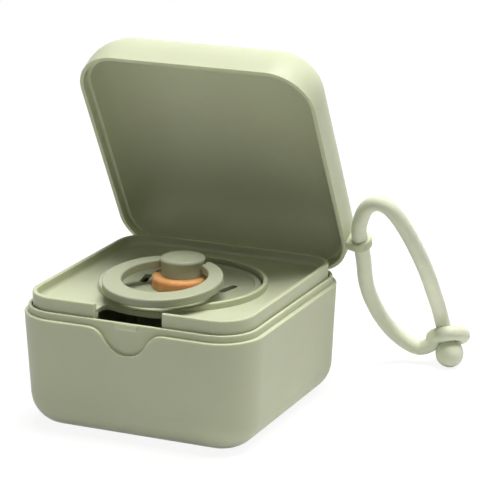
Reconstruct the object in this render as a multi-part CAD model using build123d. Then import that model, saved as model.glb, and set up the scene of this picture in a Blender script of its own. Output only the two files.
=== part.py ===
from build123d import *
import math
import os

os.makedirs("parts", exist_ok=True)

# A square travelling case in which a pacifier is carried and steam sterilised: a deep base with a
# lift-out tray, a domed lid on a pinned hinge, a carrying strap through an eyelet on the lid, and the
# pacifier itself, lying knob up in the tray.  Millimetres.  The origin is the middle of the base's flat
# bottom, +Z is up, the opening side faces -Y, the hinge lies along X at the back, the eyelet is at +X.

# ---- Driving dimensions -------------------------------------------------------------------------
# Base
case_width = 85.0          # outside, at the rim of the lid
case_depth = 87.1
corner_radius = 15.2       # of the plan, at the rim of the lid
ledge_height = 38.45       # floor to the ledge that the lid stands on
base_inset = 0.6           # the base's ledge lies this far inside the lid's rim
wall_draft = 3.0           # degrees, each side of the base narrows downwards
base_edge_radius = 11.2    # the round between walls and bottom
base_wall = 2.65
floor_thickness = 3.0
ledge_edge_radius = 0.3

# Neck: the thin rim above the ledge, over which the lid fits
neck_inset = 2.15          # outer face, in from the outside of the case
neck_wall = 1.1
neck_height = 2.3
neck_corner_radius = 12.4
neck_edge_radius = 0.3
cut_margin = 1.0           # cutting tools run this far past what they cut

# Thumb notch and catch, in the middle of the front
notch_depth = 8.3          # below the ledge
notch_bottom_radius = 8.4
notch_shoulder_radius = 6.0
notch_flank_angle = 58.0   # degrees from level
catch_width = 7.8
catch_height = 1.65
catch_depth = 0.65         # at its foot
catch_lean = 0.4           # less at its top

# Tray
tray_inset = 3.52          # outer face, in from the outside of the case
tray_rim_rise = 6.81       # top of the tray's wall, above the ledge
tray_skirt_drop = 1.95     # where the tray stands on the base's ribs, below the ledge
tray_wall = 1.5
tray_corner_radius = 11.3
tray_rim_drop = 3.66       # from the rim down to the deck
deck_thickness = 1.6
deck_corner_fillet = 1.4
tray_edge_radius = 0.45
rest_rib_width = 1.8
rest_rib_length = 8.0
seat_gap = 0.1             # between pieces that stand on each other

# Seat for the pacifier, in the tray
collar_radius = 27.9
collar_wall = 1.4
collar_height = 2.25       # above the deck
collar_edge_radius = 0.4
seat_drop = 2.5            # deck to the underside of the seat
seat_floor = 1.2
seat_hole_radius = 20.5
scoop_slope = 17.0         # degrees, the collar's front is planed off forwards
scoop_start = 19.8         # in front of the middle
finger_gap_width = 24.0    # in the tray's front wall
finger_hole_width = 28.4   # in the deck behind it
finger_hole_shelf = 1.2    # deck left between wall and hole
finger_hole_strip = 3.1    # and between hole and collar
finger_corner_radius = 2.0

# Lid
lid_height = 22.8
lid_rounding = 18.3        # the round between its walls and its top
lid_wall = 2.4
lid_top_corner = 3.4       # of the plan, where the dome meets the flat top
lid_inner_corner = 11.6
lid_inner_top_corner = 2.2
dome_steps = 7             # sections round the dome's shoulder
lip_width = 1.25
lip_depth = 2.5
lid_inner_inset = 2.86
lid_open_angle = 62.44     # as stored: the lid stands open against its stop

# Hinge
hinge_inset = 0.12         # pin, in from the back of the lid's rim
hinge_drop = 0.92          # pin, below the ledge
pin_radius = 0.6
pin_running_gap = 0.06
barrel_radius = 1.5
hinge_gap = 0.3
knuckle_length = 9.0
knuckle_count = 5          # base, lid, base, lid, base
hinge_arm_reach = 1.05     # the lid's hinge arms start this far in front of the pin
hinge_arm_overhang = 0.2   # and end this far behind the case

# Eyelet, on the lid's right wall, and the strap through it
eyelet_reach = 4.0         # middle of its hole, out from the wall
eyelet_from_back = 13.54   # middle of its hole, in from the back of the lid's rim
eyelet_rise = 3.01         # middle of its hole, above the ledge
eyelet_wall = 1.25
eyelet_height = 3.3
eyelet_edge_radius = 0.6
eyelet_root_height = 6.3   # where it grows out of the wall
eyelet_root_rise = 0.6     # the root's middle, above the hole's
eyelet_root_thickness = 0.5
strap_diameter = 5.2
strap_gap = 0.08           # between the strap and the eyelet's hole

# The strap leads from its ring, up through the eyelet, over and down through the ring to its ball
strap_ring_radius = 7.75
strap_ring_thickness = 5.2
strap_ball_radius = 4.9
strap_ring_to_ball = 6.9
strap_ring_roundness = 0.47   # of its section, 0.5 is fully round
bend_share = 0.45          # each bend of the strap takes this share of its shorter leg
strap_route = [
    (61.0, 72.3, 9.2),
    (58.9, 72.1, 6.7),
    (55.3, 72.0, 6.2),
    (50.9, 70.4, 8.9),
    (46.9, 67.0, 14.1),
    (44.2, 61.6, 21.9),
    (43.6, 53.4, 32.4),
    (46.5, 43.92, 45.09),
    (46.5, 38.39, 55.68),
    (48.6, 35.5, 61.0),
    (51.0, 33.3, 65.3),
    (54.6, 32.0, 67.9),
    (58.3, 32.2, 67.5),
    (61.3, 33.8, 64.3),
    (64.0, 37.3, 58.0),
    (66.4, 42.3, 49.5),
    (67.5, 49.8, 39.4),
    (66.4, 60.4, 28.0),
    (65.8, 71.4, 18.2),
    (67.2, 73.6, 4.9),
]

# Pacifier
shield_radius = 25.8
shield_thickness = 1.2
shield_border_width = 2.3
shield_border_rise = 0.6
shield_border_slope = 0.3  # the border's inner wall leans by this much to each side
shield_edge_radius = 0.5
vent_reach = 15.0          # middle of each vent, out to the side
vent_setback = 2.6         # and behind the cross axis
vent_lean = 13.0           # degrees, their far ends lie further out
vent_length = 9.2
vent_width = 2.6
nipple_drum_radius = 10.3
nipple_drum_height = 4.1
nipple_drum_edge = 1.4
nipple_neck_radius = 6.4
nipple_waist_radius = 5.1
nipple_waist_rise = 10.45  # above the middle of the bulb
nipple_bulb_radius = 8.6
nipple_length = 27.0       # below the shield
knob_radius = 7.5
knob_height = 5.9
knob_edge = 1.0
knob_crown = 0.25          # rise of its top
knob_waist = 0.45
knob_flare = 0.1           # at its foot
knob_stem_gap = 0.05       # round the stem, in the nipple
knob_stem_radius = 3.6
knob_stem_length = 9.5
knob_stem_head = 1.0       # the barb on its end, wider than the stem
knob_barb_height = 2.0
ring_outer_radius = 19.75
ring_inner_radius = 14.1
ring_centre_reach = 15.1   # in front of the pivot
ring_hole_offset = 1.55    # the hole lies this much nearer to the knob
ring_thickness = 3.0
ring_edge = 0.6
ring_end_reach = 2.2       # the ends of the C reach this far behind the pivot
ring_tilt = 5.0            # degrees, the ring rests a little nose down
ring_pivot_rise = 2.9      # pivot, above the underside of the knob
ring_knob_gap = 0.45
ring_peg_radius = 1.1
ring_peg_depth = 2.4
ring_peg_root = 1.5        # of each peg, inside the ring
ring_peg_end_gap = 0.3

# ---- Worked out from them -----------------------------------------------------------------------
half_width = case_width / 2
half_depth = case_depth / 2
neck_top = ledge_height + neck_height
tray_rim_height = ledge_height + tray_rim_rise
tray_skirt_bottom = ledge_height - tray_skirt_drop
deck_top = tray_rim_height - tray_rim_drop
seat_bottom = deck_top - seat_drop
seat_top = seat_bottom + seat_floor
shield_bottom = seat_top + seat_gap
shield_top = shield_bottom + shield_thickness
drum_bottom = shield_top
drum_top = drum_bottom + nipple_drum_height
knob_bottom = drum_top + seat_gap
knob_top = knob_bottom + knob_height
pivot_height = knob_bottom + ring_pivot_rise
hinge_y = half_depth - hinge_inset
hinge_z = ledge_height - hinge_drop
strap_radius = strap_diameter / 2
eyelet_x = half_width + eyelet_reach
eyelet_y = half_depth - eyelet_from_back
eyelet_z = ledge_height + eyelet_rise
pin_length = knuckle_count * (knuckle_length + hinge_gap) - hinge_gap
hinge_axis = Axis((0, hinge_y, hinge_z), (1, 0, 0))


def plan(inset, corner):
    """The case's plan, drawn in by the same amount all round."""
    return RectangleRounded(case_width - 2 * inset, case_depth - 2 * inset, corner)


def plan_block(inset, corner, low, high):
    return Pos(0, 0, low) * extrude(plan(inset, corner), high - low)


def tapered_tub(inset, low, edge_radius):
    """A block that narrows downwards as the outside of the base does, rounded at its bottom."""
    shrink = math.tan(math.radians(wall_draft)) * (ledge_height - low)
    outline = plan(inset + shrink, corner_radius - inset - shrink)
    block = Pos(0, 0, low) * extrude(outline, ledge_height - low, taper=-wall_draft)
    return fillet(block.faces().sort_by(Axis.Z)[0].edges(), edge_radius)


def level_edges(solid, height):
    return solid.edges().filter_by_position(Axis.Z, height - 0.01, height + 0.01)


def knuckle_span(index):
    """Where a knuckle lies along the pin: its middle."""
    return (index - (knuckle_count - 1) / 2) * (knuckle_length + hinge_gap)


def hinge_rod(radius, middle, length):
    rod = Cylinder(radius, length, rotation=(0, 90, 0))
    return Pos(middle, hinge_y, hinge_z) * rod


# ---- Base ---------------------------------------------------------------------------------------
def notch_tool():
    """The thumb notch's outline: a round bottom, straight flanks and soft shoulders."""
    lean = math.radians(notch_flank_angle)
    radii = notch_bottom_radius + notch_shoulder_radius
    reach = (radii + (notch_depth - radii) * math.cos(lean)) / math.sin(lean)
    bottom = ledge_height - notch_depth
    low_centre = bottom + notch_bottom_radius
    high_centre = ledge_height - notch_shoulder_radius

    def low_point(angle):
        return (notch_bottom_radius * math.sin(angle), low_centre - notch_bottom_radius * math.cos(angle))

    def high_point(angle):
        return (reach - notch_shoulder_radius * math.sin(angle),
                high_centre + notch_shoulder_radius * math.cos(angle))

    half = [
        ThreePointArc((0, bottom), low_point(lean / 2), low_point(lean)),
        Line(low_point(lean), high_point(lean)),
        ThreePointArc(high_point(lean), high_point(lean / 2), (reach, ledge_height)),
        Line((reach, ledge_height), (reach, neck_top + cut_margin)),
        Line((reach, neck_top + cut_margin), (0, neck_top + cut_margin)),
    ]
    side = make_face(Curve() + half + Line((0, neck_top + cut_margin), (0, bottom)))
    face = Plane.XZ.offset(half_depth - neck_inset) * (side + mirror(side, Plane.YZ))
    return extrude(face, neck_inset + cut_margin)


def catch():
    """The wedge on the neck behind which the lid's lip is held."""
    side = Polygon((neck_wall / 2, 0), (catch_lean - catch_depth, 0), (-catch_depth, -catch_height),
                   (neck_wall / 2, -catch_height), align=None)
    place = Plane(origin=(0, neck_inset - half_depth, neck_top - neck_edge_radius),
                  x_dir=(0, 1, 0), z_dir=(1, 0, 0))
    return extrude(place * side, catch_width / 2, both=True)


def rest_ribs():
    """A rib down each inner corner, on which the tray stands."""
    reach_x = half_width - neck_inset - neck_wall - tray_corner_radius
    reach_y = half_depth - neck_inset - neck_wall - tray_corner_radius
    ribs = []
    for side in (-1, 1):
        for end in (-1, 1):
            turn = math.degrees(math.atan2(end, side))
            rib = Box(rest_rib_length, rest_rib_width, tray_skirt_bottom - floor_thickness,
                      align=(Align.MIN, Align.CENTER, Align.MIN))
            rib = Pos(tray_corner_radius - rest_rib_length + base_wall, 0, 0) * rib
            ribs.append(Pos(side * reach_x, end * reach_y, floor_thickness) * Rot(0, 0, turn) * rib)
    return ribs


def make_base():
    outside = tapered_tub(base_inset, 0, base_edge_radius)
    outside = fillet(level_edges(outside, ledge_height), ledge_edge_radius)
    neck = plan_block(neck_inset, neck_corner_radius, ledge_height - cut_margin, neck_top)
    inside = tapered_tub(base_inset + base_wall, floor_thickness, base_edge_radius - base_wall)
    mouth_inset = neck_inset + neck_wall
    mouth = plan_block(mouth_inset, neck_corner_radius - neck_wall, tray_skirt_bottom, neck_top + cut_margin)
    for rib in rest_ribs():
        inside -= rib
    shell = outside + neck - inside - mouth
    shell = fillet(level_edges(shell, neck_top), neck_edge_radius)
    shell -= notch_tool()
    shell += catch()
    for index in range(knuckle_count):
        middle = knuckle_span(index)
        if index % 2 == 0:
            shell += hinge_rod(barrel_radius, middle, knuckle_length)
        else:
            width = knuckle_length + 2 * hinge_gap
            shell -= hinge_rod(barrel_radius + hinge_gap, middle, width)
            slot = Box(width, case_depth, barrel_radius + hinge_gap + hinge_drop,
                       align=(Align.CENTER, Align.MIN, Align.MAX))
            shell -= Pos(middle, half_depth - neck_inset, ledge_height) * slot
    return shell - hinge_rod(pin_radius, 0, pin_length)


# ---- Tray ---------------------------------------------------------------------------------------
def ring_block(outer, inner, low, high):
    ring = Cylinder(outer, high - low, align=(Align.CENTER, Align.CENTER, Align.MIN))
    ring -= Cylinder(inner, high - low, align=(Align.CENTER, Align.CENTER, Align.MIN))
    return Pos(0, 0, low) * ring


def finger_tool():
    """The opening in the front of the tray: a gap in its wall and a wider hole in the deck."""
    reach = half_depth - tray_inset - tray_wall - finger_hole_shelf
    hole = Pos(0, -reach) * Rectangle(finger_hole_width, reach, align=(Align.CENTER, Align.MIN))
    hole = fillet((hole - Circle(collar_radius + finger_hole_strip)).vertices(), finger_corner_radius)
    gap = Pos(0, -reach + finger_corner_radius) * Rectangle(finger_gap_width, half_depth,
                                                            align=(Align.CENTER, Align.MAX))
    low = tray_skirt_bottom - cut_margin
    return Pos(0, 0, low) * extrude(hole + gap, tray_rim_height + cut_margin - low)


def make_tray():
    inner_corner = tray_corner_radius - tray_wall
    skirt = plan_block(tray_inset, tray_corner_radius, tray_skirt_bottom, tray_rim_height)
    above = plan_block(tray_inset + tray_wall, inner_corner, deck_top, tray_rim_height + cut_margin)
    above = fillet(above.faces().sort_by(Axis.Z)[0].edges(), deck_corner_fillet)
    below = plan_block(tray_inset + tray_wall, inner_corner, tray_skirt_bottom - cut_margin,
                       deck_top - deck_thickness)
    collar_top = deck_top + collar_height
    seat_wall_inner = collar_radius - collar_wall
    tray = skirt - above - below
    tray = fillet(level_edges(tray, tray_rim_height), tray_edge_radius)
    collar = ring_block(collar_radius, seat_wall_inner, seat_bottom, collar_top)
    collar = fillet(level_edges(collar, collar_top), collar_edge_radius)
    scoop = Box(case_width, case_depth, collar_height + seat_drop, align=(Align.CENTER, Align.MAX, Align.MIN))
    collar -= Pos(0, -scoop_start, collar_top) * Rot(scoop_slope, 0, 0) * scoop
    floor = ring_block(collar_radius - collar_wall / 2, seat_hole_radius, seat_bottom, seat_top)
    tray -= Pos(0, 0, seat_bottom) * Cylinder(seat_wall_inner, 4 * seat_drop)
    return tray + collar + floor - finger_tool()


# ---- Lid ----------------------------------------------------------------------------------------
def dome(inset, height, rounding, corner, top_corner, low):
    """A shallow dome on the case's plan, lofted through sections that draw in along a round."""
    profile = [(0, 0), ((height - rounding) / 2, 0)]
    for step in range(dome_steps + 1):
        angle = math.radians(90 * step / dome_steps)
        profile.append((height - rounding + rounding * math.sin(angle), rounding * (1 - math.cos(angle))))
    sections = []
    for rise, drawn_in in profile:
        tightened = corner - (corner - top_corner) * drawn_in / rounding
        outline = plan(inset + drawn_in, tightened)
        sections.append(Pos(0, 0, low + rise) * outline)
    return loft(sections)


def eyelet():
    """A loop whose hole runs front to back, with a root that widens into the lid's wall."""
    outer = strap_radius + strap_gap + eyelet_wall
    loop = Circle(outer)
    root = Rectangle(eyelet_root_thickness, eyelet_root_height)
    root = Pos(-eyelet_reach - lip_width, eyelet_root_rise) * root
    outline = make_hull(loop.edges() + root.edges())
    band = extrude(outline, eyelet_height / 2, both=True)
    rims = band.faces().filter_by(Axis.Z).edges()
    band = fillet(rims, eyelet_edge_radius)
    hole = Cylinder(strap_radius + strap_gap, 2 * eyelet_height)
    place = Plane(origin=(eyelet_x, eyelet_y, eyelet_z), x_dir=(1, 0, 0), z_dir=(0, -1, 0))
    return place * band, place * hole


def make_lid():
    """Modelled shut, then swung open about the pin."""
    rim = ledge_height
    outside = dome(0, lid_height, lid_rounding, corner_radius, lid_top_corner, rim)
    inside = dome(lid_inner_inset, lid_height - lid_wall, lid_rounding - lid_wall,
                  lid_inner_corner, lid_inner_top_corner, rim)
    rabbet = plan_block(lip_width, corner_radius - lip_width, rim - cut_margin, rim + lip_depth)
    band, hole = eyelet()
    shell = outside + band - hole - inside - rabbet
    for index in range(knuckle_count):
        middle = knuckle_span(index)
        if index % 2 == 0:
            shell -= hinge_rod(barrel_radius + hinge_gap, middle, knuckle_length + 2 * hinge_gap)
        else:
            front = hinge_y - hinge_arm_reach
            back = half_depth + hinge_arm_overhang
            arm = Box(knuckle_length, back - front, hinge_drop + lip_depth,
                      align=(Align.CENTER, Align.MIN, Align.MIN))
            shell += Pos(middle, front, hinge_z) * arm + hinge_rod(barrel_radius, middle, knuckle_length)
    shell -= hinge_rod(pin_radius + pin_running_gap, 0, case_width)
    return shell.rotate(hinge_axis, -lid_open_angle)


# ---- Pacifier -----------------------------------------------------------------------------------
def turned(points_and_arcs):
    return revolve(Plane.XZ * make_face(points_and_arcs), Axis.Z)


def make_shield():
    rim_top = shield_top + shield_border_rise
    rim_inner = shield_radius - shield_border_width
    disc = Pos(0, 0, shield_bottom) * Cylinder(shield_radius, rim_top - shield_bottom,
                                               align=(Align.CENTER, Align.CENTER, Align.MIN))
    disc = fillet(level_edges(disc, rim_top) + level_edges(disc, shield_bottom), shield_edge_radius)
    dish = Cone(rim_inner - shield_border_slope, rim_inner + shield_border_slope, shield_border_rise,
                align=(Align.CENTER, Align.CENTER, Align.MIN))
    disc -= Pos(0, 0, shield_top) * dish
    disc -= Pos(0, 0, shield_bottom) * Cylinder(nipple_neck_radius + seat_gap, 4 * shield_thickness)
    vent = extrude(SlotOverall(vent_length, vent_width), shield_thickness, both=True)
    vent = Pos(0, 0, shield_bottom) * vent
    for side in (-1, 1):
        disc -= Pos(side * vent_reach, vent_setback, 0) * Rot(0, 0, 90 - side * vent_lean) * vent
    return disc


def make_nipple():
    bottom = shield_bottom - nipple_length
    bulb_middle = bottom + nipple_bulb_radius
    neck_end = shield_bottom - seat_drop / 2
    low_round = nipple_bulb_radius * math.sqrt(0.5)
    outline = [
        Line((knob_stem_radius, drum_top), (nipple_drum_radius - nipple_drum_edge, drum_top)),
        RadiusArc((nipple_drum_radius - nipple_drum_edge, drum_top),
                  (nipple_drum_radius, drum_top - nipple_drum_edge), nipple_drum_edge),
        Line((nipple_drum_radius, drum_top - nipple_drum_edge), (nipple_drum_radius, drum_bottom)),
        Line((nipple_drum_radius, drum_bottom), (nipple_neck_radius, drum_bottom)),
        Line((nipple_neck_radius, drum_bottom), (nipple_neck_radius, neck_end)),
        Spline([(nipple_neck_radius, neck_end), (nipple_waist_radius, bulb_middle + nipple_waist_rise),
                (nipple_bulb_radius, bulb_middle)], tangents=[(0, -1), (0, -1)]),
        ThreePointArc((nipple_bulb_radius, bulb_middle), (low_round, bulb_middle - low_round), (0, bottom)),
    ]
    stem_bottom = knob_bottom - knob_stem_length - seat_gap
    head = knob_stem_radius + knob_stem_head
    barb_top = stem_bottom + knob_barb_height + 2 * seat_gap
    inner = [
        Line((0, bottom), (0, stem_bottom)),
        Line((0, stem_bottom), (head, stem_bottom)),
        Line((head, stem_bottom), (head, barb_top)),
        Line((head, barb_top), (knob_stem_radius, barb_top + knob_stem_head)),
        Line((knob_stem_radius, barb_top + knob_stem_head), (knob_stem_radius, drum_top)),
    ]
    return turned(Curve() + outline + inner)


def make_knob():
    waist = knob_radius - knob_waist
    middle = (knob_bottom + knob_top - knob_edge) / 2
    foot = waist + knob_flare
    stem = knob_stem_radius - knob_stem_gap
    stem_bottom = knob_bottom - knob_stem_length
    head = stem + knob_stem_head
    barb_top = stem_bottom + knob_barb_height
    face_radius = knob_radius - knob_edge
    crown = knob_top + knob_crown
    crown_radius = (face_radius**2 + knob_crown**2) / (2 * knob_crown)
    crown_middle = crown - crown_radius + math.sqrt(crown_radius**2 - (face_radius / 2) ** 2)
    outline = [
        ThreePointArc((0, crown), (face_radius / 2, crown_middle), (face_radius, knob_top)),
        RadiusArc((face_radius, knob_top), (knob_radius, knob_top - knob_edge), knob_edge),
        ThreePointArc((knob_radius, knob_top - knob_edge), (waist, middle), (foot, knob_bottom)),
        Line((foot, knob_bottom), (stem, knob_bottom)),
        Line((stem, knob_bottom), (stem, barb_top + knob_stem_head)),
        Line((stem, barb_top + knob_stem_head), (head, barb_top)),
        Line((head, barb_top), (head, stem_bottom)),
        Line((head, stem_bottom), (0, stem_bottom)),
        Line((0, stem_bottom), (0, crown)),
    ]
    knob = turned(Curve() + outline)
    socket = ring_peg_radius + pin_running_gap
    bore = Cylinder(socket, 3 * knob_radius, rotation=(0, 90, 0))
    core = Cylinder(socket, 2 * (waist - ring_peg_depth - ring_peg_end_gap), rotation=(0, 90, 0))
    return knob - Pos(0, 0, pivot_height) * (bore - core)


def make_ring():
    """The pull ring, cut away round the knob, with a peg on each end of the C."""
    outline = Pos(0, -ring_centre_reach) * Circle(ring_outer_radius)
    outline -= Pos(0, ring_hole_offset - ring_centre_reach) * Circle(ring_inner_radius)
    outline -= Circle(knob_radius + ring_knob_gap)
    behind = Rectangle(2 * ring_outer_radius, ring_outer_radius, align=(Align.CENTER, Align.MIN))
    outline -= Pos(0, ring_end_reach) * behind
    tips = outline.vertices().filter_by_position(Axis.Y, -2 * ring_end_reach, 2 * ring_end_reach)
    outline = fillet(tips, ring_edge)
    ring = extrude(outline, ring_thickness / 2, both=True)
    ring = fillet(ring.faces().filter_by(Axis.Z).edges(), ring_edge)
    waist = knob_radius - knob_waist
    for side in (-1, 1):
        start = waist - ring_peg_depth
        length = ring_peg_depth + knob_waist + ring_knob_gap + ring_peg_root
        peg = Cylinder(ring_peg_radius, length, rotation=(0, 90, 0))
        ring += Pos(side * (start + length / 2), 0, 0) * peg
    return Pos(0, 0, pivot_height) * Rot(ring_tilt, 0, 0) * ring


# ---- Strap --------------------------------------------------------------------------------------
def bend_radii(route):
    """The largest even bend at each corner of a route."""
    points = [Vector(*point) for point in route]
    radii = []
    for before, corner, after in zip(points, points[1:], points[2:]):
        arriving = corner - before
        leaving = after - corner
        half_turn = math.radians(arriving.get_angle(leaving)) / 2
        radii.append(bend_share * min(arriving.length, leaving.length) / math.tan(half_turn))
    return radii


def make_strap():
    radii = bend_radii(strap_route)
    path = FilletPolyline(*strap_route, radius=radii)
    start = Plane(origin=path @ 0, z_dir=path % 0)
    tube = sweep(start * Circle(strap_radius), path=path)
    expected = math.pi * strap_radius**2 * path.length
    print("strap: length", round(path.length, 1), "radii", [round(radius, 1) for radius in radii])
    print("strap: volume", round(tube.volume), "section x length", round(expected))
    return tube


def make_strap_ring():
    ball = Vector(*strap_route[-1])
    upward = (Vector(*strap_route[-2]) - ball).normalized()
    hole = strap_radius + strap_gap
    width = strap_ring_radius - hole
    section = RectangleRounded(width, strap_ring_thickness, strap_ring_roundness * width)
    ring = revolve(Plane.XZ * Pos(hole + width / 2, 0) * section, Axis.Z)
    return Plane(origin=ball + upward * strap_ring_to_ball, z_dir=upward) * ring


def save(name, solid):
    export_step(solid, "parts/" + name + ".step")


save("base_shell", make_base())
save("hinge_pin", hinge_rod(pin_radius, 0, pin_length))
save("tray", make_tray())
save("lid_shell", make_lid())
save("pacifier_shield", make_shield())
save("pacifier_nipple", make_nipple())
save("pacifier_knob", make_knob())
save("pacifier_ring", make_ring())
save("strap_cord", make_strap())
save("strap_ring_end", make_strap_ring())
save("strap_ball_end", Pos(*strap_route[-1]) * Sphere(strap_ball_radius))
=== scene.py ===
import math

import bpy
from mathutils import Matrix, Vector


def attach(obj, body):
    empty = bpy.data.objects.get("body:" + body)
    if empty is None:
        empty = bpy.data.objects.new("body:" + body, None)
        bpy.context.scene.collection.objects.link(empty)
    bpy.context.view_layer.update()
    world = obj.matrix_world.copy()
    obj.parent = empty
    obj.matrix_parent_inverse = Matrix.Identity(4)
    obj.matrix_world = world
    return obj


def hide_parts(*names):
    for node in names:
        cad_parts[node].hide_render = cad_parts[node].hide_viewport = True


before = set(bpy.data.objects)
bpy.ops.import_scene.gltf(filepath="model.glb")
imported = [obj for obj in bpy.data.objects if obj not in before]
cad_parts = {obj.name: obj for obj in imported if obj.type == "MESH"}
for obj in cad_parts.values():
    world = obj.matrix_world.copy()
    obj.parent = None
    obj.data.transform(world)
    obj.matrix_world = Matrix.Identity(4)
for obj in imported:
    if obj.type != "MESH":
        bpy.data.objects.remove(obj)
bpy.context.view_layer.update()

bl_info = {
    "name": "Pacifier Sterilizer Case",
    "version": (1, 0, 0),
    "blender": (4, 5, 0),
    "location": "View3D > Sidebar > Case",
    "description": "Finishes a moulded pacifier case and its strap, and sets a studio round them",
    "category": "Object",
}

# Lengths are in metres, and angles in radians.
SENSOR_WIDTH = 36                     # of the camera, in millimetres
CLIP_START, CLIP_END = 0.05, 20

RING_AXIS = Vector((-0.27, 0.44, 0.86)).normalized()   # the ring sits a little askew on the strap
ROOT_SIZE = 1.08                      # radius of the strap's root, in half thicknesses of the ring
ROOT_DROP = 0.35                      # and how far below the ring's middle it sits
ROOT_STEPS = (0, 0.35, 0.7)           # the root's balls, as shares of the way to the strap's end
VOXEL_SIZE = 0.00022                  # at which the ring and its root are grown together
SMOOTHING = {"factor": 0.6, "iterations": 12}          # of their joint
COLLAR_START = 0.82                   # the ball is drawn up to the strap from this share of its radius
COLLAR_RISE = 0.16                    # by this share of it
PARTING_WIDTH = 0.00018               # of the line that the mould leaves on the ball
PARTING_RISE = 0.00004                # and how far it stands out

FLOOR_SIZE = 12                       # wide enough to fill the picture from any side
FLOOR_COLOUR = (0.82, 0.82, 0.82, 1)
FLOOR_GLOW = 1.12                     # strength of the white that the eye sees instead of the lit floor
FLOOR_SHADOW = 0.2                    # share of the lit floor, with its shadow, that it still sees
WHITE = (1, 1, 1, 1)
LAMP_SIZE = 0.45
LAMP_AIM = Vector((0, 0.01, 0.05))    # the middle of the case
KEY_PLACE = Vector((0.06, 0.045, 0.93))
SIDE_PLACE = Vector((0.40, 0.25, 0.80))
FRONT_PLACE = Vector((0.15, -0.80, 0.30))

NOISE_LOW, NOISE_HIGH = 0.3, 0.7      # nearly all of a noise texture's values lie between these
WAVE_DEPTH = 1.4                      # of the plastic's long waves, in depths of its grain
DRAWING_DEPTH = 0.000006              # of the lines on the hinge pin's wire

# The strap's line: out of its ring, up through the eyelet, over the top and down through the ring
# to its ball
STRAP_ROUTE = [
    (0.0624, 0.0712, 0.0085),
    (0.0596, 0.0717, 0.0060),
    (0.0556, 0.0716, 0.0054),
    (0.0508, 0.0703, 0.0081),
    (0.0467, 0.0668, 0.0135),
    (0.0440, 0.0616, 0.0216),
    (0.0435, 0.0534, 0.0324),
    (0.0465, 0.04392, 0.04509),
    (0.0465, 0.03839, 0.05568),
    (0.0487, 0.0355, 0.0611),
    (0.0512, 0.0333, 0.0655),
    (0.0549, 0.0320, 0.0681),
    (0.0587, 0.0322, 0.0676),
    (0.0617, 0.0338, 0.0643),
    (0.0643, 0.0373, 0.0581),
    (0.0666, 0.0423, 0.0496),
    (0.0676, 0.0500, 0.0393),
    (0.0657, 0.0621, 0.0284),
    (0.0633, 0.0751, 0.0179),
    (0.0679, 0.0721, 0.0049),
]


# ---- Settings that a user would change --------------------------------------------------------------
class CaseFinish(bpy.types.PropertyGroup):
    plastic: bpy.props.FloatVectorProperty(
        name="Case plastic", description="Colour of the base, the tray and the lid",
        subtype="COLOR", size=3, min=0, max=1, default=(0.52, 0.545, 0.375))
    pacifier: bpy.props.FloatVectorProperty(
        name="Pacifier plastic", description="Colour of the shield, the knob and the pull ring",
        subtype="COLOR", size=3, min=0, max=1, default=(0.41, 0.435, 0.30))
    silicone: bpy.props.FloatVectorProperty(
        name="Strap silicone", description="Colour of the strap and its two ends",
        subtype="COLOR", size=3, min=0, max=1, default=(0.68, 0.71, 0.54))
    teat: bpy.props.FloatVectorProperty(
        name="Teat rubber", description="Colour of the natural rubber of the teat",
        subtype="COLOR", size=3, min=0, max=1, default=(0.80, 0.39, 0.145))
    steel: bpy.props.FloatVectorProperty(
        name="Pin steel", description="Colour of the hinge pin's wire",
        subtype="COLOR", size=3, min=0, max=1, default=(0.60, 0.60, 0.60))
    grain: bpy.props.FloatProperty(
        name="Mould grain", description="Depth of the fine texture that the mould leaves on the plastic",
        subtype="DISTANCE", unit="LENGTH", min=0, max=0.0001, precision=6, default=0.000012)


class StrapSizes(bpy.types.PropertyGroup):
    diameter: bpy.props.FloatProperty(
        name="Strap thickness", description="Diameter of the round silicone strap",
        subtype="DISTANCE", unit="LENGTH", min=0.002, max=0.008, precision=4, default=0.0052)
    length: bpy.props.FloatProperty(
        name="Strap length", description="Length of the strap from its ring to its ball",
        subtype="DISTANCE", unit="LENGTH", min=0.05, max=0.4, precision=4, default=0.172)
    ring: bpy.props.FloatProperty(
        name="Ring", description="Outside diameter of the ring on the strap's first end",
        subtype="DISTANCE", unit="LENGTH", min=0.01, max=0.03, precision=4, default=0.0155)
    ball: bpy.props.FloatProperty(
        name="Ball", description="Diameter of the ball on the strap's second end",
        subtype="DISTANCE", unit="LENGTH", min=0.006, max=0.02, precision=4, default=0.0098)
    ring_to_ball: bpy.props.FloatProperty(
        name="Ring to ball", description="From the middle of the ring to the middle of the ball",
        subtype="DISTANCE", unit="LENGTH", min=0.004, max=0.02, precision=4, default=0.0060)


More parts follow.
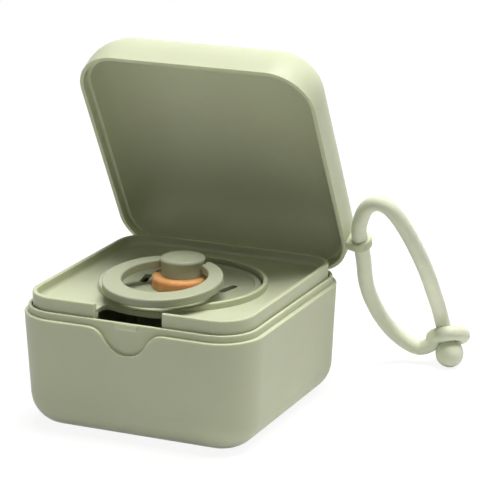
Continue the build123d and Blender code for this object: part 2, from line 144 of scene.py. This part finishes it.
class StudioSettings(bpy.types.PropertyGroup):
    azimuth: bpy.props.FloatProperty(
        name="Camera azimuth", description="How far the camera stands round to the case's right",
        subtype="ANGLE", unit="ROTATION", default=math.radians(24.632))
    elevation: bpy.props.FloatProperty(
        name="Camera elevation", description="How far the camera looks down on the case",
        subtype="ANGLE", unit="ROTATION", default=math.radians(16.305))
    roll: bpy.props.FloatProperty(
        name="Camera roll", description="Turn of the camera about its own line of sight",
        subtype="ANGLE", unit="ROTATION", default=math.radians(-0.181))
    distance: bpy.props.FloatProperty(
        name="Camera distance", description="From the camera to the point that it looks at",
        subtype="DISTANCE", unit="LENGTH", min=0.1, default=0.794304)
    target: bpy.props.FloatVectorProperty(
        name="Camera target", description="The point that the camera looks at",
        subtype="TRANSLATION", unit="LENGTH", size=3, default=(0.020698, 0.0, 0.059711))
    lens: bpy.props.FloatProperty(
        name="Focal length", description="Focal length of the camera, in millimetres",
        min=10, max=500, default=183.51)
    fill_light: bpy.props.FloatProperty(
        name="Fill light", description="Strength of the even light from all round",
        min=0, max=3, default=0.06)
    key_light: bpy.props.FloatProperty(
        name="Key light", description="Light that the soft lamp overhead throws on a face turned to it",
        min=0, max=3, default=1.11)
    side_light: bpy.props.FloatProperty(
        name="Side light", description="Light of the lamp above the case's back right corner",
        min=0, max=3, default=0.48)
    front_light: bpy.props.FloatProperty(
        name="Front light", description="Light of the low lamp in front of the case",
        min=0, max=3, default=0.05)


# ---- Node helpers -----------------------------------------------------------------------------------
class NodeTree:
    """The nodes of a material or of the world, added one at a time."""

    def __init__(self, owner, output):
        owner.use_nodes = True
        self.nodes = owner.node_tree.nodes
        self.links = owner.node_tree.links
        self.nodes.clear()
        self.output = self.nodes.new(output)

    def add(self, kind, **settings):
        node = self.nodes.new(kind)
        for name, value in settings.items():
            setattr(node, name, value)
        return node

    def link(self, source, target):
        self.links.new(source, target)

    def plain(self, kind, colour, **constants):
        """A node with one colour, such as a diffuse surface or a background."""
        node = self.add(kind)
        node.inputs["Color"].default_value = colour
        for name, value in constants.items():
            node.inputs[name].default_value = value
        return node.outputs[0]

    def mix(self, first, second):
        """The node that mixes two shaders. Its first input is the share of the second one."""
        node = self.add("ShaderNodeMixShader")
        self.link(first, node.inputs[1])
        self.link(second, node.inputs[2])
        return node

    def larger(self, first, second):
        node = self.add("ShaderNodeMath", operation="MAXIMUM")
        self.link(first, node.inputs[0])
        self.link(second, node.inputs[1])
        return node.outputs[0]

    def seen_directly(self):
        """1 for rays from the eye and from glossy and clear surfaces, 0 for the light itself."""
        path = self.add("ShaderNodeLightPath").outputs
        mirrored = self.larger(path["Is Camera Ray"], path["Is Glossy Ray"])
        return self.larger(mirrored, path["Is Transmission Ray"])


class Shader(NodeTree):
    """A new material."""

    def __init__(self, name):
        self.material = bpy.data.materials.new(name)
        super().__init__(self.material, "ShaderNodeOutputMaterial")

    def place(self):
        return self.add("ShaderNodeTexCoord").outputs["Object"]

    def noise(self, place, scale, detail, roughness):
        node = self.add("ShaderNodeTexNoise")
        node.inputs["Scale"].default_value = scale
        node.inputs["Detail"].default_value = detail
        node.inputs["Roughness"].default_value = roughness
        self.link(place, node.inputs["Vector"])
        return node.outputs["Fac"]

    def ramp(self, value, low, high):
        """A noise's value, spread from low to high."""
        node = self.add("ShaderNodeMapRange")
        node.inputs["From Min"].default_value = NOISE_LOW
        node.inputs["From Max"].default_value = NOISE_HIGH
        node.inputs["To Min"].default_value = low
        node.inputs["To Max"].default_value = high
        self.link(value, node.inputs["Value"])
        return node.outputs["Result"]

    def tint(self, colour, value, darker, lighter):
        """The colour, varied by a value between two shares of itself."""
        node = self.add("ShaderNodeMix", data_type="RGBA")
        first, second, mixed = node.inputs[6], node.inputs[7], node.outputs[2]   # the colour sockets
        first.default_value = (*[part * darker for part in colour], 1)
        second.default_value = (*[min(1, part * lighter) for part in colour], 1)
        self.link(self.ramp(value, 0, 1), node.inputs["Factor"])
        return mixed

    def bump(self, height, distance, normal=None):
        """The surface's normal, tilted by a height of up to a distance."""
        node = self.add("ShaderNodeBump")
        node.inputs["Strength"].default_value = 1
        node.inputs["Distance"].default_value = distance
        self.link(height, node.inputs["Height"])
        if normal:
            self.link(normal, node.inputs["Normal"])
        return node.outputs["Normal"]

    def surface(self, colour, roughness, normal, **constants):
        """The material, finished with a principled surface. Each constant is named after its socket."""
        shader = self.add("ShaderNodeBsdfPrincipled")
        for name, value in constants.items():
            shader.inputs[name.replace("_", " ")].default_value = value
        self.link(colour, shader.inputs["Base Color"])
        self.link(roughness, shader.inputs["Roughness"])
        self.link(normal, shader.inputs["Normal"])
        self.link(shader.outputs["BSDF"], self.output.inputs["Surface"])
        return self.material


def moulded_plastic(name, colour, grain, soft):
    """Matt polypropylene: a spark-eroded grain, faint flow marks and a slightly uneven sheen.

    Soft is the share of light that spreads under the surface.
    """
    shader = Shader(name)
    place = shader.place()
    flow = shader.noise(place, scale=42, detail=3, roughness=0.55)
    sheen = shader.noise(place, scale=160, detail=4, roughness=0.6)
    sparks = shader.noise(place, scale=5200, detail=3, roughness=0.6)
    waves = shader.noise(place, scale=900, detail=2, roughness=0.5)
    return shader.surface(
        shader.tint(colour, flow, darker=0.975, lighter=1.02),
        shader.ramp(sheen, low=0.42, high=0.54),
        shader.bump(waves, grain * WAVE_DEPTH, shader.bump(sparks, grain)),
        Specular_IOR_Level=0.42, IOR=1.49, Subsurface_Weight=soft, Subsurface_Scale=0.002,
        Subsurface_Radius=(1.0, 1.0, 0.7))


def soft_silicone(name, colour, grain):
    """Silicone rubber: duller and a little translucent, with a dusty bloom."""
    shader = Shader(name)
    place = shader.place()
    bloom = shader.noise(place, scale=130, detail=4, roughness=0.6)
    sheen = shader.noise(place, scale=320, detail=4, roughness=0.6)
    pores = shader.noise(place, scale=3800, detail=3, roughness=0.6)
    return shader.surface(
        shader.tint(colour, bloom, darker=0.96, lighter=1.03),
        shader.ramp(sheen, low=0.55, high=0.68),
        shader.bump(pores, grain),
        Specular_IOR_Level=0.35, IOR=1.41, Subsurface_Weight=0.25, Subsurface_Scale=0.0012,
        Sheen_Weight=0.08, Sheen_Roughness=0.5)


def natural_rubber(name, colour, grain):
    """Amber latex: translucent, with cloudy depth and a smooth skin."""
    shader = Shader(name)
    place = shader.place()
    cloud = shader.noise(place, scale=210, detail=4, roughness=0.65)
    sheen = shader.noise(place, scale=420, detail=3, roughness=0.6)
    skin = shader.noise(place, scale=1400, detail=3, roughness=0.6)
    return shader.surface(
        shader.tint(colour, cloud, darker=0.86, lighter=1.12),
        shader.ramp(sheen, low=0.38, high=0.50),
        shader.bump(skin, grain),
        Specular_IOR_Level=0.35, IOR=1.52, Subsurface_Weight=0.55, Subsurface_Scale=0.0035,
        Subsurface_Radius=(1.0, 0.4, 0.15))


def drawn_wire(name, colour):
    """Steel wire, with drawing lines that run along it."""
    shader = Shader(name)
    place = shader.place()
    stretch = shader.add("ShaderNodeMapping")
    stretch.inputs["Scale"].default_value = (0.03, 1, 1)   # the wire lies along X
    shader.link(place, stretch.inputs["Vector"])
    lines = shader.noise(stretch.outputs["Vector"], scale=5200, detail=3, roughness=0.7)
    sheen = shader.noise(place, scale=700, detail=3, roughness=0.6)
    return shader.surface(
        shader.tint(colour, lines, darker=0.85, lighter=1.05),
        shader.ramp(sheen, low=0.24, high=0.38),
        shader.bump(lines, DRAWING_DEPTH),
        Metallic=1.0)


def put_on(piece, material):
    piece.data.materials.clear()
    piece.data.materials.append(material)


# ---- Operators --------------------------------------------------------------------------------------
class CASE_OT_camera(bpy.types.Operator):
    """Stand the camera in front of the case's right corner"""

    bl_idname = "case.camera"
    bl_label = "Camera"

    def execute(self, context):
        studio = context.scene.case_studio
        turn, rise, roll = studio.azimuth, studio.elevation, studio.roll
        back = Vector((math.sin(turn) * math.cos(rise), -math.cos(turn) * math.cos(rise),
                       math.sin(rise)))
        level = Vector((math.cos(turn), math.sin(turn), 0))
        upward = back.cross(level)
        right = level * math.cos(roll) + upward * math.sin(roll)
        up = upward * math.cos(roll) - level * math.sin(roll)
        data = bpy.data.cameras.new("Case_camera")
        data.sensor_width = SENSOR_WIDTH
        data.lens = studio.lens
        data.clip_start, data.clip_end = CLIP_START, CLIP_END
        camera = bpy.data.objects.new("Case_camera", data)
        context.scene.collection.objects.link(camera)
        place = Matrix((right, up, back)).transposed().to_4x4()
        place.translation = Vector(studio.target) + back * studio.distance
        camera.matrix_world = place
        context.scene.camera = camera
        return {"FINISHED"}


class CASE_OT_strap(bpy.types.Operator):
    """Thread the silicone strap through the lid's eyelet, with its ring and its ball"""

    bl_idname = "case.strap"
    bl_label = "Carrying Strap"

    def execute(self, context):
        sizes = context.scene.case_strap
        finish = context.scene.case_finish
        silicone = soft_silicone("Sage_silicone", finish.silicone, finish.grain)
        strap = self.cord(context, sizes)
        strap.data.materials.append(silicone)
        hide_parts("strap_cord")
        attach(strap, "strap")
        ends = [self.ring_end(context, sizes), self.ball_end(context, sizes)]
        for end, node in zip(ends, ("strap_ring_end", "strap_ball_end")):
            put_on(end, silicone)
            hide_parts(node)
            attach(end, "strap")
        return {"FINISHED"}

    @staticmethod
    def cord(context, sizes):
        """The round strap along its route."""
        curve = bpy.data.curves.new("Carrying_strap", "CURVE")
        curve.dimensions = "3D"
        spline = curve.splines.new("NURBS")
        spline.points.add(len(STRAP_ROUTE) - 1)
        for point, place in zip(spline.points, STRAP_ROUTE):
            point.co = (*place, 1)
        spline.order_u = 3
        spline.use_endpoint_u = True
        spline.resolution_u = 16
        curve.bevel_depth = sizes.diameter / 2
        curve.bevel_resolution = 8
        curve.use_fill_caps = True
        strap = bpy.data.objects.new("Carrying_strap", curve)
        context.scene.collection.objects.link(strap)
        return strap

    @staticmethod
    def settle(piece, name, place, axis):
        """Turn a piece's Z to the axis and leave its turn and its place in its mesh."""
        piece.name = piece.data.name = name
        turn = axis.to_track_quat("Z", "Y").to_matrix().to_4x4()
        piece.data.transform(Matrix.Translation(place) @ turn)
        return piece

    @staticmethod
    def change(piece, kind, **settings):
        """Put a modifier on the active piece and apply it."""
        modifier = piece.modifiers.new(kind.title(), kind)
        for name, value in settings.items():
            setattr(modifier, name, value)
        bpy.ops.object.modifier_apply(modifier=modifier.name)

    def ring_end(self, context, sizes):
        """The ring on the strap's first end, grown together with the root that the strap runs into."""
        strap_end = Vector(STRAP_ROUTE[0])
        middle = Vector(STRAP_ROUTE[-1]) + RING_AXIS * sizes.ring_to_ball
        half_thickness = (sizes.ring - sizes.diameter) / 4
        reach = sizes.diameter / 2 + half_thickness
        bpy.ops.object.select_all(action="DESELECT")
        bpy.ops.mesh.primitive_torus_add(major_radius=reach, minor_radius=half_thickness,
                                         major_segments=96, minor_segments=40)
        ring = self.settle(context.active_object, "Strap_ring", middle, RING_AXIS)
        outward = strap_end - middle
        outward = (outward - RING_AXIS * outward.dot(RING_AXIS)).normalized()
        root = middle + outward * reach - RING_AXIS * half_thickness * ROOT_DROP
        for share in ROOT_STEPS:
            bpy.ops.mesh.primitive_uv_sphere_add(
                segments=32, ring_count=16, radius=half_thickness * ROOT_SIZE,
                location=root.lerp(strap_end, share))
            ring.select_set(True)
            context.view_layer.objects.active = ring
            bpy.ops.object.join()
        self.change(ring, "REMESH", mode="VOXEL", voxel_size=VOXEL_SIZE)
        self.change(ring, "SMOOTH", **SMOOTHING)
        bpy.ops.object.shade_smooth()
        return ring

    def ball_end(self, context, sizes):
        """The ball that stops the strap, drawn up to it and with a faint line where its mould parts."""
        ball = Vector(STRAP_ROUTE[-1])
        axis = (Vector(STRAP_ROUTE[-2]) - ball).normalized()
        radius = sizes.ball / 2
        bpy.ops.object.select_all(action="DESELECT")
        bpy.ops.mesh.primitive_uv_sphere_add(segments=96, ring_count=72, radius=radius)
        bpy.ops.object.shade_smooth()
        piece = context.active_object
        for vertex in piece.data.vertices:
            height = vertex.co.z / radius
            collar = max(0.0, (height - COLLAR_START) / (1 - COLLAR_START))
            parting = math.exp(-(vertex.co.x / PARTING_WIDTH) ** 2)
            vertex.co *= 1 + PARTING_RISE / radius * parting
            vertex.co.z += radius * COLLAR_RISE * collar**2
        return self.settle(piece, "Strap_ball", ball, axis)


class CASE_OT_shells(bpy.types.Operator):
    """Give the base, the tray and the lid their moulded finish, and the hinge its steel"""

    bl_idname = "case.shells"
    bl_label = "Case Shells"

    def execute(self, context):
        finish = context.scene.case_finish
        plastic = moulded_plastic("Sage_polypropylene", finish.plastic, finish.grain, soft=0.5)
        for name in ("base_shell", "tray", "lid_shell"):
            put_on(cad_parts[name], plastic)
        put_on(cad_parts["hinge_pin"], drawn_wire("Drawn_steel", finish.steel))
        return {"FINISHED"}


class CASE_OT_pacifier(bpy.types.Operator):
    """Give the pacifier's shield, knob and ring their plastic, and its teat natural rubber"""

    bl_idname = "case.pacifier"
    bl_label = "Pacifier"

    def execute(self, context):
        finish = context.scene.case_finish
        plastic = moulded_plastic("Pacifier_polypropylene", finish.pacifier, finish.grain, soft=0.05)
        for name in ("pacifier_shield", "pacifier_knob", "pacifier_ring"):
            put_on(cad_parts[name], plastic)
        put_on(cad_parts["pacifier_nipple"],
               natural_rubber("Amber_rubber", finish.teat, finish.grain))
        return {"FINISHED"}


class CASE_OT_studio(bpy.types.Operator):
    """Lay a plain pale floor and light the case softly from above, its right and its front"""

    bl_idname = "case.studio"
    bl_label = "Studio"

    def execute(self, context):
        scene, studio = context.scene, context.scene.case_studio
        scene.view_settings.view_transform = "Standard"
        bpy.ops.object.select_all(action="DESELECT")
        bpy.ops.mesh.primitive_plane_add(size=FLOOR_SIZE, location=(0, 0, 0))
        floor = context.active_object
        floor.name = "Studio_floor"
        put_on(floor, self.floor_material())
        self.light_world(scene, studio.fill_light)
        self.add_lamp(scene, "Key_lamp", KEY_PLACE, studio.key_light)
        self.add_lamp(scene, "Side_lamp", SIDE_PLACE, studio.side_light)
        self.add_lamp(scene, "Front_lamp", FRONT_PLACE, studio.front_light)
        return {"FINISHED"}

    @staticmethod
    def floor_material():
        """A pale floor, which the eye sees as white with the case's shadow on it."""
        shader = Shader("Pale_floor")
        lit = shader.plain("ShaderNodeBsdfDiffuse", FLOOR_COLOUR)
        glow = shader.plain("ShaderNodeEmission", WHITE, Strength=FLOOR_GLOW)
        shown = shader.mix(glow, lit)
        shown.inputs[0].default_value = FLOOR_SHADOW
        both = shader.mix(lit, shown.outputs[0])
        shader.link(shader.seen_directly(), both.inputs[0])
        shader.link(both.outputs[0], shader.output.inputs["Surface"])
        return shader.material

    @staticmethod
    def light_world(scene, strength):
        """Even light from all round, which the eye sees as white."""
        scene.world = scene.world or bpy.data.worlds.new("Studio_world")
        tree = NodeTree(scene.world, "ShaderNodeOutputWorld")
        even = tree.plain("ShaderNodeBackground", WHITE, Strength=strength)
        white = tree.plain("ShaderNodeBackground", WHITE, Strength=1)
        both = tree.mix(even, white)
        tree.link(tree.seen_directly(), both.inputs[0])
        tree.link(both.outputs[0], tree.output.inputs["Surface"])

    @staticmethod
    def add_lamp(scene, name, place, level):
        """A square soft lamp, turned to the case and strong enough to light it to the level."""
        away = place - LAMP_AIM
        data = bpy.data.lights.new(name, "AREA")
        data.shape = "SQUARE"
        data.size = LAMP_SIZE
        # the power at which a white face at the aim looks as bright as the level
        data.energy = level * math.pi**2 * away.length_squared
        lamp = bpy.data.objects.new(name, data)
        scene.collection.objects.link(lamp)
        lamp.location = place
        lamp.rotation_mode = "QUATERNION"
        lamp.rotation_quaternion = away.to_track_quat("Z", "Y")


class CASE_PT_panel(bpy.types.Panel):
    """The case's steps and settings"""

    bl_idname = "CASE_PT_panel"
    bl_label = "Sterilizer Case"
    bl_space_type = "VIEW_3D"
    bl_region_type = "UI"
    bl_category = "Case"

    def draw(self, context):
        layout = self.layout
        for step in STEPS:
            layout.operator(step.bl_idname)
        for group in (context.scene.case_finish, context.scene.case_strap, context.scene.case_studio):
            box = layout.box()
            for name in group.__annotations__:
                box.prop(group, name)


STEPS = (CASE_OT_camera, CASE_OT_strap, CASE_OT_shells, CASE_OT_pacifier, CASE_OT_studio)
GROUPS = {"case_finish": CaseFinish, "case_strap": StrapSizes, "case_studio": StudioSettings}


def register():
    for group in GROUPS.values():
        bpy.utils.register_class(group)
    for name, group in GROUPS.items():
        setattr(bpy.types.Scene, name, bpy.props.PointerProperty(type=group))
    for step in STEPS:
        bpy.utils.register_class(step)
    bpy.utils.register_class(CASE_PT_panel)


def unregister():
    bpy.utils.unregister_class(CASE_PT_panel)
    for step in reversed(STEPS):
        bpy.utils.unregister_class(step)
    for name in GROUPS:
        delattr(bpy.types.Scene, name)
    for group in reversed(list(GROUPS.values())):
        bpy.utils.unregister_class(group)


def main():
    register()
    bpy.ops.case.camera()
    bpy.ops.case.strap()
    bpy.ops.case.shells()
    bpy.ops.case.pacifier()
    bpy.ops.case.studio()


if __name__ == "__main__":
    main()
